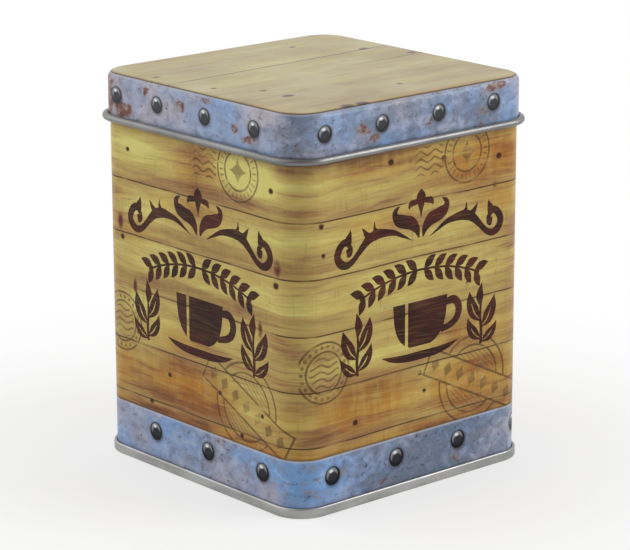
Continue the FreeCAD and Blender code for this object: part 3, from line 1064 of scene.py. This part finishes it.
# body: hook at the foot, wall, hem at the mouth
body = {
    "start": (0.475, 2.25), "heading": 270,
    "moves": [(1.525, 0.3, -180), (101.975, 0.175, 180), (2.7, 0, 0)],
    "groove": {**seam, "half": 0.22, "deep": 0.2},
    "ridge": {"left": -28.0, "right": -23.7, "proud": 0.9, "round": 0.4, "roundSteps": 4},
    "panelArea": 1000.0,  # only the flats of the wall have larger faces, in square mm
    "printFacing": 0.05, "printIn": -0.24, "printOut": 0.1, "hookOut": 0.05,
}
bodyPiece = foldSheet("tin_body", body["start"], body["heading"], body["moves"])
carryRound()
thicken(bodyPiece)


# the folded side seam stands proud inside the back wall
def raiseSeam(piece, ridge):
    wallFace = tin["half"] - tin["sheet"]

    def onWall(face):
        return face.normal.y < -0.9 and abs(face.center.y / mm - wallFace) < tin["near"]

    def onRidge(face):
        middle = face.center / mm
        inside = ridge["left"] < middle.x < ridge["right"] and seam["low"] < middle.z < seam["high"]
        return inside and onWall(face)

    sides = [((value, 0, 0), (1, 0, 0)) for value in (ridge["left"], ridge["right"])]
    sides += [((0, 0, value), (0, 0, 1)) for value in (seam["low"], seam["high"])]
    for spot, across in sides:
        selectFaces(piece, onWall)
        bpy.ops.mesh.bisect(plane_co=Vector(spot) * mm, plane_no=across)
    selectFaces(piece, onRidge)
    bpy.ops.mesh.extrude_region_move(TRANSFORM_OT_translate={"value": (0, -ridge["proud"] * mm, 0)})
    bpy.ops.mesh.bevel(offset=ridge["round"] * mm, segments=ridge["roundSteps"], affect="EDGES")
    bpy.ops.object.mode_set(mode="OBJECT")


raiseSeam(bodyPiece, body["ridge"])


# depth of the seam's groove at a place on the wall
def sunkAt(groove, along, up):
    near = tin["near"]
    inGroove = groove and abs(along - groove["along"]) < near
    return groove["deep"] if inGroove and groove["low"] + near < up < groove["high"] - near else 0.0


# the outer flats give way to panels with the ornament
def inkWalls(piece):
    mesh = piece.data
    flats = [face for face in mesh.polygons if face.area > body["panelArea"] * mm * mm]
    outer = [face for face in flats if face.normal.dot(face.center) > 0]
    heights = [mesh.vertices[index].co.z / mm for index in outer[0].vertices]
    low, high = min(heights), max(heights)
    chosen = [face.index for face in outer]
    marks = mesh.attributes.new("ink", "FLOAT", "FACE")
    marks.data.foreach_set("value", [0.0] * len(mesh.polygons))
    selectFaces(piece, lambda face: face.index in chosen)
    bpy.ops.mesh.delete(type="ONLY_FACE")
    bpy.ops.object.mode_set(mode="OBJECT")
    panels = []
    for quarter in range(4):
        groove = body["groove"] if quarter == 2 else None
        points, triangles, ink = inkedPanel(low, high, groove)
        turned = Matrix.Rotation(quarter * pi / 2, 3, "Z")
        places = []
        for along, up in points:
            place = Vector((along, sunkAt(groove, along, up) - tin["half"], up))
            places.append(turned @ place * mm)
        panelMesh = bpy.data.meshes.new("panel")
        panelMesh.from_pydata(places, [], triangles)
        marks = panelMesh.attributes.new("ink", "FLOAT", "FACE")
        marks.data.foreach_set("value", [float(value) for value in ink])
        panel = bpy.data.objects.new("panel", panelMesh)
        bpy.context.collection.objects.link(panel)
        panels.append(panel)
    bpy.ops.object.select_all(action="DESELECT")
    for panel in panels + [piece]:
        panel.select_set(True)
    bpy.context.view_layer.objects.active = piece
    bpy.ops.object.join()
    bpy.ops.object.mode_set(mode="EDIT")
    bpy.ops.mesh.select_all(action="SELECT")
    bpy.ops.mesh.remove_doubles(threshold=tin["weld"] * mm)
    bpy.ops.object.mode_set(mode="OBJECT")


# print on the wall's outside, bare tin on the hook below it, bright plate inside
def bodyFinish(middle, out, facing, rise):
    if facing > body["printFacing"] and body["printIn"] < out < body["printOut"]:
        return 0
    return 1 if out > body["hookOut"] else 2


inkWalls(bodyPiece)
layPrint(bodyPiece, lambda spot: spot.z)
bodyFinishes = [finishes["body"], finishes["tin"], finishes["plate"]]
finishPiece(bodyPiece, bodyFinishes, bodyFinish, "body", "body_shell")

# sheet for the baked picture: the printed sides two by two in mm, every other face in a strip beside them
bakeSheet = {
    "side": 209.0, "gap": 1.0, "row": 104.0,
    "stripFrom": 0.755, "stripWidth": 0.24, "stripAngle": 66, "stripMargin": 0.004,
}


def layBake(piece):
    mesh = piece.data
    mesh.uv_layers.active = mesh.uv_layers.new(name="OFBake")
    selectFaces(piece, lambda face: face.material_index > 0)
    angle, margin = radians(bakeSheet["stripAngle"]), bakeSheet["stripMargin"]
    bpy.ops.uv.smart_project(angle_limit=angle, island_margin=margin)
    bpy.ops.object.mode_set(mode="OBJECT")
    layer = mesh.uv_layers["OFBake"]
    for face in mesh.polygons:
        middle = face.center / mm
        row, column = divmod(round(sheetAlong(middle.x, middle.y, middle) / sideRun) % 4, 2)
        for corner in face.loop_indices:
            if face.material_index:
                across, up = layer.data[corner].uv
                layer.data[corner].uv = (bakeSheet["stripFrom"] + bakeSheet["stripWidth"] * across, up)
                continue
            spot = mesh.vertices[mesh.loops[corner].vertex_index].co / mm
            side = sheetAlong(spot.x, spot.y, middle) - (2 * row + column) * sideRun + sideRun / 2
            across = bakeSheet["gap"] + side + column * (sideRun + bakeSheet["gap"])
            up = bakeSheet["gap"] + spot.z - wallAt(spot.x, spot.y)[1] + row * bakeSheet["row"]
            layer.data[corner].uv = (across / bakeSheet["side"], up / bakeSheet["side"])
    mesh.uv_layers.active = mesh.uv_layers["print"]


layBake(bodyPiece)
print("bake sheet laid")

# base: hooked round the body's foot, with a panel inside
base = {
    "start": (0.175, 0.8), "heading": 90, "panel": 3.625,
    "moves": [(1.525, 0.3, -180), (1.825, 0.375, -90), (0.45, 0.375, -90), (2.2, 0.925, 90), (6.65, 0, 0)],
}
basePiece = foldSheet("tin_base", base["start"], base["heading"], base["moves"])
carryRound()
closePanel(basePiece, base["panel"])
thicken(basePiece)


# bright plate on the side of the panel that is in the tin
def baseFinish(middle, out, facing, rise):
    return 1 if middle.z > base["panel"] else 0


finishPiece(basePiece, [finishes["tin"], finishes["plate"]], baseFinish, "body", "base_plate")

# lid: panel, rounded edge, skirt and a curled rim
lid = {
    "start": (-8.0, 103.997), "heading": 0, "panel": 103.997,
    "moves": [(6.65, 1.675, -90), (10.15, 0.825, 300)],
    "bendUp": 102.322, "bendOut": -1.35, "bendRadius": 1.8, "curlTop": 93.1, "printFacing": 0.1,
}
lidPiece = foldSheet("tin_lid", lid["start"], lid["heading"], lid["moves"])
carryRound()
closePanel(lidPiece, lid["panel"])
thicken(lidPiece)


# height on the lid's print goes on over the rounded edge and inwards along the panel
def lidUp(spot):
    out = wallAt(spot.x, spot.y)[1]
    rise = spot.z - lid["bendUp"]
    if rise <= 0:
        return spot.z
    if out > lid["bendOut"]:
        return lid["bendUp"] + lid["bendRadius"] * atan2(rise, out - lid["bendOut"])
    return lid["bendUp"] + lid["bendRadius"] * pi / 2 + lid["bendOut"] - out


# the curl stays bare, the outside is printed, the inside is bright plate
def lidFinish(middle, out, facing, rise):
    if middle.z < lid["curlTop"]:
        return 1
    return 0 if facing + rise > lid["printFacing"] else 2


layPrint(lidPiece, lidUp)
lidFinishes = [finishes["lid"], finishes["shadedRim"], finishes["plate"]]
finishPiece(lidPiece, lidFinishes, lidFinish, "lid", "lid")
print("pieces made")

# stage: pale floor that fades into white, a soft box each side, darker towards the camera and overhead
stage = {
    "floorSize": 6.0, "floor": (0.93, 0.93, 0.93), "floorRough": 0.9,
    "nearWhite": 0.6, "fadeFrom": 60.0, "fadeTo": 180.0,  # in mm from the middle
    "worldLight": 0.86,
    "front": (0.74, -0.64, 0.20), "frontShare": 0.40, "frontEdge": (0.15, 0.85),
    "ceilingShare": 0.55, "ceilingEdge": (0.55, 0.95),
    "lamps": [  # name, place, aim, size, watts
        ("left_softbox", (-0.60, -0.80, 0.70), (0, 0, 0.06), 1.8, 8.0),
        ("right_softbox", (0.70, 0.62, 0.45), (0, 0, 0.06), 0.55, 4.4),
    ],
}

bpy.ops.object.select_all(action="DESELECT")
bpy.ops.mesh.primitive_plane_add(size=stage["floorSize"])
floor = bpy.context.object
floor.name = "floor"
paper = Finish("paper_floor")
x, y = paper.objectPlace()[:2]
fade = paper.far(x, y).ease(stage["fadeFrom"], stage["fadeTo"])
cover = stage["nearWhite"] + (1 - stage["nearWhite"]) * fade
seen = paper.add("ShaderNodeLightPath", {}, {}).socket.node
direct = Wire(paper, seen.outputs["Is Camera Ray"]).most(Wire(paper, seen.outputs["Is Glossy Ray"]))
white = paper.add("ShaderNodeEmission", {}, {"Color": (1, 1, 1, 1), "Strength": 1.0})
paper.give(Base_Color=(*stage["floor"], 1), Roughness=stage["floorRough"])
matt = Wire(paper, paper.shader.outputs[0])
shown = paper.add("ShaderNodeMixShader", {}, {0: cover * direct, 1: matt, 2: white})
paper.plug(paper.tree.nodes["Material Output"].inputs[0], shown)
floor.data.materials.append(paper.material)


# the world's light comes through the same socket sums as the finishes
class Sky(Finish):
    def __init__(self):
        world = bpy.data.worlds.new("studio")
        bpy.context.scene.world = world
        world.use_nodes = True
        self.tree = world.node_tree
        self.shader = self.tree.nodes["Background"]


sky = Sky()
way = sky.add("ShaderNodeTexCoord", {}, {}, "Generated")
front = Vector(stage["front"]).normalized()
facing = sky.add("ShaderNodeVectorMath", {"operation": "DOT_PRODUCT"}, {0: way, 1: front}, "Value")
dark = facing.ease(*stage["frontEdge"])
ceiling = sky.split(way)[2].ease(*stage["ceilingEdge"])
room = (1 - (1 - stage["frontShare"]) * dark) * (1 - (1 - stage["ceilingShare"]) * ceiling)
rays = sky.add("ShaderNodeLightPath", {}, {}).socket.node
fromEye, fromGloss = [Wire(sky, rays.outputs[name]) for name in ("Is Camera Ray", "Is Glossy Ray")]
power = (stage["worldLight"] + (1 - stage["worldLight"]) * fromGloss) * room
sky.give(Color=(1, 1, 1, 1), Strength=power + (1 - power) * fromEye)

for name, place, aim, size, watts in stage["lamps"]:
    bpy.ops.object.light_add(type="AREA", location=place)
    lamp = bpy.context.object
    lamp.name = name
    lamp.data.size = size
    lamp.data.energy = watts
    lamp.rotation_euler = (Vector(aim) - Vector(place)).to_track_quat("-Z", "Y").to_euler()

bpy.context.scene.view_settings.view_transform = "Standard"
print("stage set")
